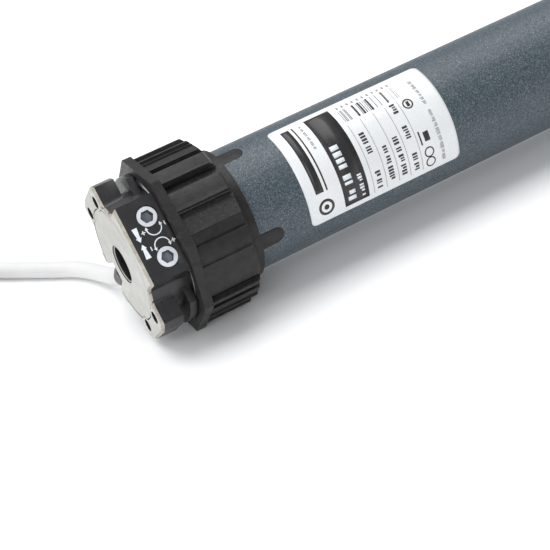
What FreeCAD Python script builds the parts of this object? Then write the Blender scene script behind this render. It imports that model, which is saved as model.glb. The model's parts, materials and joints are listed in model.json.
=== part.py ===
"""Tubular roller shutter motor with a mechanical limit setting, in millimetres.

The motor axis is X. The origin is the centre of the head's outer face, +X points to the driven end
and +Z is up, with the motor lying on a flat of its octagonal crown and drive wheel.
"""
import FreeCAD, Part
import math
import os
import re
import Sketcher
from FreeCAD import Placement, Rotation, Vector

SIZES = {
    # head, in its own rolled frame: Y runs through the lobes, Z out of the adjuster panel
    "head_roll": 52.75, "head_length": 14.6, "head_radius": 22.3,
    "panel_height": 25.3, "panel_half": 14.2, "lobe_reach": 27.8, "lobe_half": 12.4,
    "lobe_round": 28.7, "lobe_depth": 8.2, "ledge_start": 11.5, "ledge_width": 2.7,
    "ledge_radius": 27.5, "ledge_inner": 18.5, "ledge_half": 14, "ear_half": 10.5, "ear_reach": 22.3,
    "plate_radius": 20.6, "plate_thick": 2, "plate_gap": 0.15, "bore_radius": 7, "back_wall": 2,
    "boss_radius": 9.4, "cavity_radius": 17.6, "cavity_wall": 3, "cavity_top": 10.6,
    "fixing_radius": 2.3, "fixing_along": 22, "fixing_across": 7.5, "fixing_boss": 3.5,
    "notch_apex": 12, "notch_inner": 3.5, "notch_outer": 6.2, "notch_end": 9.6,
    # limit adjusters
    "adjuster_place": 9.4, "adjuster_across": 7.45, "adjuster_head": 3.5, "adjuster_shank": 2,
    "adjuster_sunk": 0.15, "head_depth": 4.75, "adjuster_tip": 11.4, "adjuster_socket": 2,
    "socket_depth": 3, "adjuster_gap": 0.25, "running_gap": 0.05,
    # sleeve, crown and slide ring
    "turning_gap": 0.1, "neck_under": 0.1, "bearing_rise": 0.9, "collar_rise": 1.6,
    "collar_width": 3.95, "spigot_length": 17.3, "spigot_gap": 0.05, "spigot_wall": 2.2,
    "sleeve_inner": 20.8, "sleeve_wall": 2.4, "sleeve_hole": 6, "window_half": 5, "pivot_blind": 0.4,
    "tongue_half": 3, "tongue_length": 9.2, "tongue_gap": 0.15,
    "octagon_flats": 60, "flange_width": 3.4, "face_drop": 0.6, "rib_rise": 1.2, "crown_width": 23.95,
    "taper_drop": 1.6, "ring_setback": 1, "ring_width": 2.7, "ring_radius": 26, "ring_gap": 0.3,
    # limit train
    "crown_teeth": 72, "limit_pinion_teeth": 12, "limit_gear_teeth": 48, "gear_module": 0.65,
    "limit_gap": 0.9, "limit_width": 3.9, "limit_axle": 2, "limit_hub": 4.5, "pinion_axle": 1.15,
    "frame_gap": 1.6, "frame_room": 10.4, "frame_plate": 1.6, "frame_radius": 20.4,
    "pillar_radius": 1.6, "pillar_inset": 2.2, "switch_half": 5.6,
    "cam_radius": 13.4, "cam_width": 3.2, "cam_gap": 1.3,
    # tube and rating label
    "tube_radius": 22.5, "tube_wall": 1.5, "tube_end": 400, "label_place": 20.2,
    "label_length": 62, "label_from": 2.5, "label_sweep": 105.5, "label_thick": 0.12,
    # electrical parts
    "board_gap": 2, "board_thick": 1.6, "board_flat": 12, "wiring_room": 10.4,
    "capacitor_length": 68, "capacitor_radius": 16.5, "holder_length": 14,
    "stator_gap": 48, "stator_length": 60, "stator_bore": 11.7, "air_gap": 0.4,
    "slot_count": 8, "slot_radius": 3, "slot_place": 15.4, "turns_length": 10,
    "turns_inner": 12.6, "turns_outer": 18, "insert_gap": 0.2, "shield_thick": 7,
    "shield_gap": 3, "bearing_outer": 8, "shaft_radius": 4, "shaft_gap": 0.6, "shaft_stub": 2,
    "end_ring": 3, "end_ring_step": 0.8, "bolt_place": 19.2, "bolt_radius": 1,
    # brake
    "brake_gap": 4, "brake_length": 14, "coil_inner": 10, "coil_outer": 16.5, "pot_floor": 3,
    "spring_floor": 2, "disc_inset": 0.6,
    "brake_travel": 0.4, "brake_plate_thick": 3, "brake_disc_thick": 4, "brake_radius": 18.6,
    "brake_clearance": 0.1, "spring_radius": 6.6, "spring_wire": 0.9, "spring_turns": 4,
    # gearbox
    "gearbox_wall": 5.5, "sun_teeth": 12, "planet_teeth": 21, "annulus_teeth": 54,
    "planet_width": 12, "last_planet_width": 14, "carrier_thick": 5, "stage_gap": 1,
    "carrier_radius": 15.6, "planet_pin": 1.6, "tooth_play": 0.16, "addendum": 0.62,
    "dedendum": 0.82,
    # driven end
    "cap_spigot": 20, "cap_flange": 4, "bush_wall": 2, "output_radius": 7, "wheel_gap": 10,
    "wheel_length": 24, "wheel_rim": 3.2, "wheel_hub": 12, "wheel_web": 4, "spoke_half": 1.2,
    "clip_thick": 1.2, "clip_radius": 9.4, "clip_groove": 5.4, "clip_mouth": 2.2, "shaft_tail": 6,
    "cap_screw_radius": 1.5, "cap_screw_inset": 8, "cap_screw_length": 6,
    # supply cable
    "cable_radius": 3.25, "cable_place": 5.2, "gland_mouth": 30, "gland_root": 4.3,
    "gland_collar": 2.5, "gland_lip": 0.5,
    "coil_mean": 35.75, "coil_wide": 4, "coil_high": 2, "coil_pitch": 6.6,
    "core_radius": 0.9, "core_length": 28, "core_place": 1.35, "core_lift": 1.05,
}

# Places along the motor axis and radii that follow from the sizes.
PLACES = {
    "bore_depth": "head_length - back_wall",
    "cavity_end": "head_length - cavity_wall",
    "ledge_end": "ledge_start + ledge_width",
    "adjuster_top": "panel_height - adjuster_sunk",
    "adjuster_shoulder": "adjuster_top - head_depth",
    "neck_radius": "tube_radius - neck_under",
    "bearing_radius": "tube_radius + bearing_rise",
    "collar_radius": "tube_radius + collar_rise",
    "crown_start": "head_length + turning_gap",
    "crown_end": "crown_start + crown_width",
    "flange_end": "crown_start + flange_width",
    "crown_face": "octagon_flats / 2 - face_drop",
    "crown_rib": "octagon_flats / 2 + rib_rise",
    "crown_taper": "crown_face - taper_drop",
    "ring_start": "crown_start + ring_setback",
    "ring_end": "ring_start + ring_width",
    "recess_end": "ring_end + 2 * turning_gap",
    "recess_radius": "ring_radius + ring_gap",
    "limit_start": "recess_end + limit_gap",
    "limit_end": "limit_start + limit_width",
    "bearing_start": "limit_end + 6 * turning_gap",
    "collar_start": "crown_end + turning_gap",
    "tube_start": "collar_start + collar_width",
    "tongue_end": "tube_start + tongue_length",
    "spigot_end": "tube_start + spigot_length",
    "frame_front": "limit_end + frame_gap",
    "frame_back": "frame_front + frame_plate + frame_room",
    "cam_start": "frame_front + frame_plate + cam_gap + turning_gap",
    "label_start": "tube_start + label_place",
    "board_start": "spigot_end + board_gap",
    "capacitor_start": "board_start + board_thick + wiring_room",
    "capacitor_end": "capacitor_start + capacitor_length",
    "shield_start": "capacitor_end + stator_gap - turns_length - shield_gap - shield_thick",
    "stator_start": "shield_start + shield_thick + shield_gap + turns_length",
    "stator_end": "stator_start + stator_length",
    "back_shield": "stator_end + turns_length + shield_gap",
    "brake_start": "back_shield + shield_thick + brake_gap",
    "brake_end": "brake_start + brake_length",
    "plate_start": "brake_end + brake_travel + brake_clearance",
    "disc_start": "plate_start + brake_plate_thick + brake_clearance",
    "gearbox_start": "disc_start + brake_disc_thick + brake_clearance",
    "insert_radius": "tube_radius - tube_wall - insert_gap",
    "spigot_radius": "tube_radius - tube_wall - spigot_gap",
    "cap_end": "tube_end + cap_flange",
    "wheel_start": "cap_end + wheel_gap",
    "wheel_end": "wheel_start + wheel_length",
    "wheel_inner": "octagon_flats / 2 - wheel_rim",
}

doc = FreeCAD.newDocument("roller_shutter_motor")
sheet = doc.addObject("Spreadsheet::Sheet", "dim")
for row, (alias, value) in enumerate(SIZES.items(), start=1):
    sheet.set(f"A{row}", alias)
    sheet.set(f"B{row}", str(value))
    sheet.setAlias(f"B{row}", alias)
doc.recompute()

sub_parts = []


def cells(expression):
    """The expression with each place worked out and each size's name pointing at its cell."""
    def spelled(match):
        word = match.group()
        if word in PLACES:
            return f"({cells(PLACES[word])})"
        return "dim." + word if word in SIZES else word
    return re.sub(r"[a-z][a-z_]*", spelled, str(expression))


def number(expression):
    """The present value of an expression in the sheet's sizes."""
    return float(sheet.evalExpression(cells(expression)))


def bind(thing, **expressions):
    for name, expression in expressions.items():
        thing.setExpression(name.replace("__", "."), cells(expression))


def sub_part(thing, name):
    """Marks a finished piece: its Label names its file."""
    thing.Label = name
    sub_parts.append(thing)
    return thing


# ---------------------------------------------------------------- solids along the motor axis
def rod(name, start, end, radius, y="0", z="0"):
    """A cylinder along X."""
    thing = doc.addObject("Part::Cylinder", name)
    thing.Placement = Placement(Vector(), Rotation(Vector(0, 1, 0), 90))
    bind(thing, Radius=radius, Height=f"({end}) - ({start})",
         Placement__Base__x=start, Placement__Base__y=y, Placement__Base__z=z)
    return thing


def post(name, x, y, bottom, top, radius):
    """A cylinder along Z."""
    thing = doc.addObject("Part::Cylinder", name)
    bind(thing, Radius=radius, Height=f"({top}) - ({bottom})",
         Placement__Base__x=x, Placement__Base__y=y, Placement__Base__z=bottom)
    return thing


def block(name, x_range, y_range, z_range):
    thing = doc.addObject("Part::Box", name)
    bind(thing, Length=f"({x_range[1]}) - ({x_range[0]})", Width=f"({y_range[1]}) - ({y_range[0]})",
         Height=f"({z_range[1]}) - ({z_range[0]})", Placement__Base__x=x_range[0],
         Placement__Base__y=y_range[0], Placement__Base__z=z_range[0])
    return thing


def octagon(name, start, end):
    """An octagonal prism along X that stands on one of its flats."""
    thing = doc.addObject("Part::Prism", name)
    thing.Polygon = 8
    thing.Placement = Placement(Vector(), Rotation(Vector(0, 1, 0), 90) * Rotation(Vector(0, 0, 1), 22.5))
    bind(thing, Circumradius="octagon_flats / 2 / cos(22.5 deg)", Height=f"({end}) - ({start})",
         Placement__Base__x=start)
    return thing


def joined(name, things):
    fuse = doc.addObject("Part::MultiFuse", name)
    fuse.Shapes = things
    return fuse


def shared(name, base, tool):
    """What two solids have in common."""
    common = doc.addObject("Part::Common", name)
    common.Base = base
    common.Tool = tool
    return common


def less(name, base, tools):
    """The base with every tool cut away."""
    cut = doc.addObject("Part::Cut", name)
    cut.Base = base
    cut.Tool = tools[0] if len(tools) == 1 else joined(name + "_tools", tools)
    cut.Refine = False
    return cut


def rolled(name, things, angle):
    """Copies of the things turned about the motor axis, in degrees or as an expression."""
    group = doc.addObject("Part::Compound", name)
    group.Links = things
    group.Placement = Placement(Vector(), Rotation(Vector(1, 0, 0), 1))
    bind(group, Placement__Rotation__Angle=angle)
    return group


def roll_to_head(thing):
    """Turns a piece that is built upright to the head's own roll."""
    thing.Placement = Placement(Vector(), Rotation(Vector(1, 0, 0), 1))
    bind(thing, Placement__Rotation__Angle="head_roll")
    return thing


def turned(name, outline):
    """A body of revolution about X; the outline lists (x, radius) corners."""
    body = doc.addObject("PartDesign::Body", name)
    plane = next(f for f in body.Origin.OriginFeatures if f.Role == "XY_Plane")
    sketch = body.newObject("Sketcher::SketchObject", name + "_profile")
    sketch.AttachmentSupport = (plane, "")
    sketch.MapMode = "FlatFace"
    corners = [Vector(number(x), number(radius), 0) for x, radius in outline]
    last = len(outline) - 1
    for index, corner in enumerate(corners):
        sketch.addGeometry(Part.LineSegment(corner, corners[0 if index == last else index + 1]), False)
    for index, (x, radius) in enumerate(outline):
        sketch.addConstraint(Sketcher.Constraint("Coincident", index - 1 if index else last, 2, index, 1))
        for kind, axis, place in (("DistanceX", -2, x), ("DistanceY", -1, radius)):
            if place == "0":
                sketch.addConstraint(Sketcher.Constraint("PointOnObject", index, 1, axis))
                continue
            row = sketch.addConstraint(Sketcher.Constraint(kind, -1, 1, index, 1, number(place)))
            sketch.setExpression(f"Constraints[{row}]", cells(place))
    turn = body.newObject("PartDesign::Revolution", name + "_turn")
    turn.Profile = sketch
    turn.ReferenceAxis = (sketch, ["H_Axis"])
    turn.Angle = 360
    return body


def ring(name, start, end, inner, outer):
    return turned(name, [(start, inner), (start, outer), (end, outer), (end, inner)])


# ---------------------------------------------------------------- teeth
def involute(radius, base_radius):
    slope = math.sqrt(max((radius / base_radius) ** 2 - 1, 0))
    return slope - math.atan(slope)


def toothed(name, teeth, start, end, play, inward=False, middle=(0, 0), turn=0):
    """A prism along X with straight-flanked teeth; one tooth points along +Y, turned by an angle.

    An inward outline is the hole of an internal gear: its teeth are the gaps, so play widens them.
    """
    pitch_radius = number(teeth) * number("gear_module") / 2
    rise = number("dedendum" if inward else "addendum")
    fall = number("addendum" if inward else "dedendum")
    base_radius = pitch_radius * math.cos(math.radians(20))
    pitch = 2 * math.pi / number(teeth)
    at_pitch = pitch / 4 + (play if inward else -play) / 2 / pitch_radius
    at_pitch += involute(pitch_radius, base_radius)
    corners = []
    for tooth in range(int(number(teeth))):
        for radius, side in ((pitch_radius - fall, -1), (pitch_radius + rise, -1),
                             (pitch_radius + rise, 1), (pitch_radius - fall, 1)):
            angle = tooth * pitch + side * (at_pitch - involute(radius, base_radius)) + turn
            corners.append(Vector(number(start), middle[0] + radius * math.cos(angle),
                                  middle[1] + radius * math.sin(angle)))
    face = Part.Face(Part.makePolygon(corners + corners[:1]))
    prism = doc.addObject("Part::Feature", name)
    prism.Shape = face.extrude(Vector(number(end) - number(start), 0, 0))
    return prism


def around(count, radius, first=0):
    """Evenly spaced places (index, y, z, angle in degrees) on a circle, as expressions."""
    for index in range(count):
        angle = first + 360 * index / count
        yield index, f"({radius}) * cos({angle} deg)", f"({radius}) * sin({angle} deg)", angle


# ---------------------------------------------------------------- head
def fixing_rods(name, start, end, radius):
    return [rod(f"{name}_{side}_{end_side}", start, end, radius, f"{side} * fixing_along",
                f"{end_side} * fixing_across") for side in (-1, 1) for end_side in (-1, 1)]


def cable_notch(name):
    """The flared slot in the side away from the adjusters, open to the head's face."""
    wedge = doc.addObject("Part::Wedge", name)
    wedge.Placement = Placement(Vector(), Rotation(Vector(1, 0, 0), -90))
    bind(wedge, Xmin="-1", Xmax="notch_end", X2min="-1", X2max="notch_end", Ymin="notch_apex",
         Ymax="ear_reach + 3", Zmin="-notch_inner", Zmax="notch_inner", Z2min="-notch_outer",
         Z2max="notch_outer")
    return wedge


def make_head_body():
    barrel = rod("head_barrel", "0", "head_length", "head_radius")
    panel = block("head_panel", ("0", "head_length"), ("-panel_half", "panel_half"),
                  ("0", "panel_height"))
    lobes = shared("head_lobes", block(
        "head_lobe_bar", ("0", "lobe_depth"), ("-lobe_reach", "lobe_reach"), ("-lobe_half", "lobe_half")),
        rod("head_lobe_round", "0", "lobe_depth", "lobe_round"))
    ledges = less("head_ledges", shared(
        "head_ledge_disc", rod("head_ledge_round", "ledge_start", "ledge_end", "ledge_radius"),
        block("head_ledge_bar", ("ledge_start", "ledge_end"), ("-ledge_radius", "ledge_radius"),
              ("-ledge_half", "ledge_half"))),
        [rod("head_ledge_core", "ledge_start - 1", "ledge_end + 1", "ledge_inner")])
    ears = block("head_ears", ("0", "head_length"), ("-ear_half", "ear_half"), ("-ear_reach", "0"))
    seat = less("head_plate_seat", rod("head_seat_disc", "-1", "plate_thick", "plate_radius + plate_gap"),
                fixing_rods("head_fixing_boss", "-2", "plate_thick + 1", "fixing_boss - plate_gap"))
    cavity = less("head_cavity", rod("head_cavity_room", "plate_thick", "cavity_end", "cavity_radius"), [
        rod("head_bore_boss", "0", "cavity_end + 1", "boss_radius"),
        block("head_adjuster_boss", ("0", "cavity_end + 1"), ("-cavity_radius", "cavity_radius"),
              ("cavity_top", "cavity_radius + 1"))])
    adjuster_holes = []
    for side in (-1, 1):
        across = f"{side} * adjuster_across"
        adjuster_holes.append(post(f"head_shank_hole_{side}", "adjuster_place", across,
                                   "adjuster_tip - 2", "panel_height + 1",
                                   "adjuster_shank + running_gap"))
        adjuster_holes.append(post(f"head_adjuster_well_{side}", "adjuster_place", across,
                                   "adjuster_shoulder - running_gap", "panel_height + 1",
                                   "adjuster_head + adjuster_gap"))
    solid = joined("head_solid", [barrel, panel, lobes, ledges, ears])
    head = less("head_shell", solid, [
        seat, cavity, rod("head_bore", "-1", "bore_depth", "bore_radius"),
        cable_notch("head_notch")] + fixing_rods("head_fixing", "-1", "lobe_depth + 1", "fixing_radius")
        + adjuster_holes)
    sub_part(roll_to_head(head), "head_body")


def make_cover_plate():
    disc = rod("plate_disc", "0", "plate_thick", "plate_radius")
    plate = less("plate", disc, [rod("plate_bore", "-1", "plate_thick + 1", "bore_radius"),
                                 cable_notch("plate_notch")]
                 + fixing_rods("plate_relief", "-1", "plate_thick + 1", "fixing_boss"))
    sub_part(roll_to_head(plate), "head_cover_plate")


def make_adjusters():
    for side, name in ((1, "upper_limit_adjuster"), (-1, "lower_limit_adjuster")):
        across = f"{side} * adjuster_across"
        head = post(name + "_head", "adjuster_place", across, "adjuster_shoulder", "adjuster_top",
                    "adjuster_head")
        shank = post(name + "_shank", "adjuster_place", across, "adjuster_tip", "adjuster_shoulder + 1",
                     "adjuster_shank")
        socket = doc.addObject("Part::Prism", name + "_socket")
        socket.Polygon = 6
        bind(socket, Circumradius="adjuster_socket / cos(30 deg)", Height="4",
             Placement__Base__x="adjuster_place", Placement__Base__y=across,
             Placement__Base__z="adjuster_top - 3")
        sub_part(roll_to_head(less(name + "_cut", joined(name + "_bar", [head, shank]), [socket])), name)


# ---------------------------------------------------------------- sleeve, slide ring and crown
def tongue(name, gap):
    """One locking tongue of the sleeve, or the tube's slot for it with a gap all round."""
    middle = "tongue_end - tongue_half"
    bar = block(name + "_bar", ("tube_start - 2", middle), (f"-tongue_half - {gap}", f"tongue_half + {gap}"),
                ("sleeve_inner - 1", "tube_radius + 1"))
    end = post(name + "_end", middle, "0", "sleeve_inner - 1", "tube_radius + 1", f"tongue_half + {gap}")
    return joined(name + "_piece", [bar, end])


def tongue_set(name, gap):
    return [rolled(f"{name}_{index}", [tongue(f"{name}_{index}", gap)], f"head_roll + {45 + 90 * index}")
            for index in range(4)]


def limit_pinion_place():
    """Centre distance of the limit pinion, which meshes with the crown and the limit gear."""
    return "(crown_teeth - limit_pinion_teeth) * gear_module / 2"


def make_sleeve():
    sleeve = turned("sleeve_turned", [
        ("head_length", "sleeve_hole"), ("head_length", "neck_radius"), ("bearing_start", "neck_radius"),
        ("bearing_start", "bearing_radius"), ("collar_start", "bearing_radius"),
        ("collar_start", "collar_radius"), ("tube_start", "collar_radius"),
        ("tube_start", "spigot_radius"),
        ("spigot_end", "spigot_radius"),
        ("spigot_end", "spigot_radius - spigot_wall"),
        ("tube_start - 2", "spigot_radius - spigot_wall"),
        ("tube_start - 2", "sleeve_inner"), ("head_length + sleeve_wall", "sleeve_inner"),
        ("head_length + sleeve_wall", "sleeve_hole")])
    tongues = less("sleeve_tongues", shared(
        "sleeve_tongue_tops", joined("sleeve_tongue_set", tongue_set("sleeve_tongue", 0)),
        rod("sleeve_tongue_skin", "tube_start - 2", "tongue_end + 1", "tube_radius")),
        [rod("sleeve_tongue_core", "tube_start - 3", "tongue_end + 2",
             "spigot_radius - spigot_wall / 2")])
    window = block("sleeve_window", ("limit_start - limit_gap / 2", "bearing_start + turning_gap"),
                   ("sleeve_inner - 7", "bearing_radius + 3"), ("-window_half", "window_half"))
    pivot = rod("sleeve_pivot", "head_length + pivot_blind", "limit_start", "pinion_axle + running_gap",
                limit_pinion_place())
    sleeve = less("sleeve", joined("sleeve_solid", [sleeve, tongues]),
                  [rolled("sleeve_window_roll", [joined("sleeve_window_room", [window, pivot])],
                          "head_roll")])
    sub_part(sleeve, "head_sleeve")


def make_slide_ring():
    sub_part(ring("slide_ring_turned", "ring_start", "ring_end", "neck_radius + running_gap",
                  "ring_radius"), "slide_ring")


# Each crown feature is (angle from the top about X, width in degrees, height above the octagon's
# flats); the set repeats after half a turn.
CROWN_RIBS = ((5, 3, 0), (17, 11, 0.1), (23.3, 1.6, 0.9), (45.1, 1.1, -0.05), (47, 1.1, -0.05),
              (66.2, 5.4, 1.1), (71.5, 1.1, 0), (86.5, 2.6, -0.05), (115, 3, 1), (138, 1.1, 0),
              (140, 1.1, 0), (157.5, 5.4, 1.1), (168, 2.6, 0.3))
CROWN_GROOVES = ((9.3, 4.4, -1.8), (27.9, 7.4, -3.1), (49.2, 3, -1.8), (56.6, 11.6, -1.1),
                 (111.6, 1.6, -1.6), (123, 8, -2.6), (148, 8, -1.1), (176, 6, -1.2))


def crown_bars(name, features, outward):
    """Bars along X that stand on the crown, or that are cut from it, in two half-turn sets."""
    bars = []
    for index, (angle, width, rise) in enumerate(features):
        radius = number("octagon_flats") / 2 + rise
        half = radius * math.tan(math.radians(width / 2))
        top = f"octagon_flats / 2 + {rise}"
        low, high = ("recess_radius", top) if outward else (top, "crown_rib + 2")
        bar = block(f"{name}_{index}", ("flange_end - 0.5" if outward else "flange_end", "crown_end + 1"),
                    (f"-{half:.3f}", f"{half:.3f}"), (low, high))
        bars += [rolled(f"{name}_{index}_{turn}", [bar], angle + turn) for turn in (0, 180)]
    return bars


def make_crown():
    core = turned("crown_core", [
        ("crown_start", "recess_radius"), ("crown_start", "crown_face"),
        ("crown_end - 1", "crown_face"), ("crown_end", "crown_taper"),
        ("crown_end", "bearing_radius + running_gap"),
        ("limit_end + 0.5", "bearing_radius + running_gap"), ("limit_end + 0.5", "neck_radius + 0.3"),
        ("recess_end", "neck_radius + 0.3"), ("recess_end", "recess_radius")])
    trim = turned("crown_trim", [
        ("crown_end - 2.4", "crown_rib"), ("crown_end - 2.4", "octagon_flats"),
        ("crown_end + 2", "octagon_flats"), ("crown_end + 2", "crown_taper - 4"),
        ("crown_end", "crown_taper - 4"), ("crown_end", "crown_taper"),
        ("crown_end - 1.1", "crown_face + 0.3")])
    flange = less("crown_flange", octagon("crown_flange_prism", "crown_start", "flange_end"),
                  [rod("crown_flange_hole", "crown_start - 1", "flange_end + 1", "recess_radius")])
    ribbed = joined("crown_solid", [core, flange] + crown_bars("crown_rib", CROWN_RIBS, True))
    grooved = less("crown_grooved", ribbed, crown_bars("crown_groove", CROWN_GROOVES, False))
    teeth = toothed("crown_teeth_hole", "crown_teeth", "recess_end - 0.5", "limit_end + 0.5",
                    number("tooth_play"), inward=True)
    sub_part(less("crown_piece", less("crown_trimmed", grooved, [trim]),
                  [rolled("crown_teeth_roll", [teeth], "head_roll")]), "crown")


# ---------------------------------------------------------------- limit switch unit
def make_limit_unit():
    place = limit_pinion_place()
    middle = (number(place), 0)
    pinion = joined("pinion_piece", [
        toothed("pinion_teeth", "limit_pinion_teeth", "limit_start", "limit_end",
                number("tooth_play"), middle=middle),
        rod("pinion_axle", "head_length + 1.5 * pivot_blind", "frame_front + frame_plate", "pinion_axle",
            place)])
    sub_part(roll_to_head(pinion), "limit_pinion")

    hub = rod("gear_hub", "limit_start", "frame_back - 3 * turning_gap", "limit_hub")
    half_pitch = math.pi / number("limit_gear_teeth")
    gear = less("gear_piece", joined("gear_solid", [
        toothed("gear_teeth", "limit_gear_teeth", "limit_start + 2 * turning_gap",
                "limit_end - 2 * turning_gap", number("tooth_play"), turn=half_pitch), hub]),
        [rod("gear_bore", "limit_start - 1", "frame_back + 1", "limit_axle + running_gap")])
    sub_part(roll_to_head(gear), "limit_gear")

    for index, name in enumerate(("upper_limit_cam", "lower_limit_cam")):
        start = f"cam_start + {index} * (cam_width + cam_gap)"
        disc = ring(name + "_disc", start, f"{start} + cam_width", "limit_hub", "cam_radius")
        notch = rolled(name + "_notch_roll", [block(
            name + "_notch", (f"{start} - 1", f"{start} + cam_width + 1"), ("-1.5", "1.5"),
            ("cam_radius - 1.4", "cam_radius + 1"))], 150 + 60 * index)
        sub_part(less(name + "_piece", disc, [notch]), name)

    plates = [rod("frame_plate_front", "frame_front", "frame_front + frame_plate", "frame_radius"),
              rod("frame_plate_back", "frame_back", "frame_back + frame_plate", "frame_radius"),
              rod("frame_axle", "head_length + sleeve_wall + limit_gap / 2", "frame_back + 1", "limit_axle")]
    plates += [rod(f"frame_pillar_{i}", "frame_front", "frame_back + 1", "pillar_radius", y, z)
               for i, y, z, _ in around(3, "frame_radius - pillar_inset", 30)]
    opening = [less("frame_hub_hole", rod("frame_hub_room", "frame_front - 1",
                                          "frame_front + frame_plate + 0.5", "limit_hub + 4 * turning_gap"),
                    [rod("frame_axle_keep", "frame_front - 2", "frame_front + 4", "limit_axle")]),
               rod("frame_pivot", "frame_front - 1", "frame_front + frame_plate + 1",
                   "pinion_axle + running_gap", place)]
    sub_part(roll_to_head(less("frame_piece", joined("frame_solid", plates), opening)), "limit_frame")

    switches = []
    for index in range(2):
        start = f"cam_start - 2 * turning_gap + {index} * (cam_width + cam_gap)"
        switches.append(block(f"switch_{index}", (start, f"{start} + cam_width + 6 * turning_gap"),
                              ("-switch_half", "switch_half"),
                              ("-frame_radius + 12 * turning_gap", "-cam_radius - 10 * turning_gap")))
    pin_hole = rod("switch_pin_hole", "frame_front", "frame_back", "pillar_radius + 2 * running_gap",
                   "0", "pillar_inset - frame_radius")
    sub_part(roll_to_head(less("switch_pair", joined("switch_blocks", switches), [pin_hole])),
             "limit_microswitches")


# ---------------------------------------------------------------- tube, label, electrical parts
def cap_screw_rods(name, bottom, top, radius):
    return [rolled(f"{name}_{index}", [post(f"{name}_post_{index}", "tube_end - cap_screw_inset", "0",
                                            bottom, top, radius)], 90 * index) for index in range(4)]


def make_tube():
    tube = ring("tube_turned", "tube_start", "tube_end", "tube_radius - tube_wall", "tube_radius")
    cuts = tongue_set("tube_slot", "tongue_gap")
    cuts += cap_screw_rods("tube_screw_hole", "tube_radius - 2 * tube_wall", "tube_radius + 1",
                           "cap_screw_radius + running_gap")
    sub_part(less("tube_piece", tube, cuts), "motor_tube")
    skin = rod("label_skin", "label_start", "label_start + label_length", "tube_radius + label_thick")
    skin.Placement = Placement(Vector(), Rotation(Vector(0, 1, 0), 90) * Rotation(Vector(0, 0, 1), 180))
    bind(skin, Angle="label_sweep", Placement__Base__x="label_start")
    label = less("label_flat", skin, [rod("label_core", "label_start - 1",
                                          "label_start + label_length + 1", "tube_radius")])
    sub_part(rolled("label_roll", [label], "label_from"), "rating_label")


def make_electrical_parts():
    board = less("board_piece",
                 rod("board_disc", "board_start", "board_start + board_thick", "insert_radius"),
                 [block("board_cut", ("board_start - 1", "board_start + board_thick + 1"),
                        ("-tube_radius", "tube_radius"), ("board_flat", "tube_radius"))])
    terminals = [block(f"terminal_{i}", ("board_start + board_thick", "board_start + 9"),
                       (f"{-12 + 6 * i}", f"{-7 + 6 * i}"), ("-4", "6")) for i in range(4)]
    sub_part(joined("board_set", [board] + terminals), "terminal_board")
    sub_part(turned("capacitor_turned", [
        ("capacitor_start", "0"), ("capacitor_start", "capacitor_radius - 1"),
        ("capacitor_start + 1", "capacitor_radius"), ("capacitor_end - 1", "capacitor_radius"),
        ("capacitor_end", "capacitor_radius - 1"), ("capacitor_end", "0")]), "capacitor")
    middle = "capacitor_start + capacitor_length / 2"
    sub_part(ring("holder_turned", f"{middle} - holder_length / 2", f"{middle} + holder_length / 2",
                  "capacitor_radius + running_gap", "insert_radius"), "capacitor_holder")


def make_motor():

    def bolt_rods(name, radius):
        return [rod(f"{name}_{i}", "shield_start", "back_shield + shield_thick", radius, y, z)
                for i, y, z, _ in around(4, "bolt_place", 22.5)]

    core = ring("stator_turned", "stator_start", "stator_end", "stator_bore", "insert_radius")
    slots = [rod(f"stator_slot_{i}", "stator_start - 1", "stator_end + 1", "slot_radius", y, z)
             for i, y, z, _ in around(int(number("slot_count")), "slot_place")]
    sub_part(less("stator_piece", core, slots + bolt_rods("stator_bolt_hole", "bolt_radius + 0.1")),
             "stator_core")
    bundles = [rod(f"winding_bundle_{i}", "stator_start - 1", "stator_end + 1", "slot_radius - 0.1", y, z)
               for i, y, z, _ in around(int(number("slot_count")), "slot_place")]
    heads = [ring("winding_head_front", "stator_start - turns_length", "stator_start", "turns_inner",
                  "turns_outer"),
             ring("winding_head_back", "stator_end", "stator_end + turns_length", "turns_inner",
                  "turns_outer")]
    sub_part(joined("winding_set", bundles + heads), "stator_windings")

    shields, bearings = [], []
    for index, start in enumerate(("shield_start", "back_shield")):
        shields.append(ring(f"shield_{index}", start, f"{start} + shield_thick", "bearing_outer",
                            "insert_radius"))
        bearings.append(ring(f"bearing_{index}", f"{start} + 1", f"{start} + shield_thick - 1",
                             "shaft_radius + running_gap", "bearing_outer"))
    sub_part(less("shield_pair", joined("shield_solid", shields),
                  bolt_rods("shield_bolt_hole", "bolt_radius + 0.1")), "motor_end_shields")
    sub_part(joined("bearing_pair", bearings), "motor_bearings")
    sub_part(joined("bolt_set", bolt_rods("bolt", "bolt_radius")), "motor_through_bolts")

    stack, rings = "stator_bore - air_gap", "stator_bore - air_gap - end_ring_step"
    sub_part(turned("rotor_turned", [
        ("stator_start - end_ring", "shaft_radius"), ("stator_start - end_ring", rings),
        ("stator_start", rings), ("stator_start", stack), ("stator_end", stack), ("stator_end", rings),
        ("stator_end + end_ring", rings), ("stator_end + end_ring", "shaft_radius")]), "rotor_core")


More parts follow.
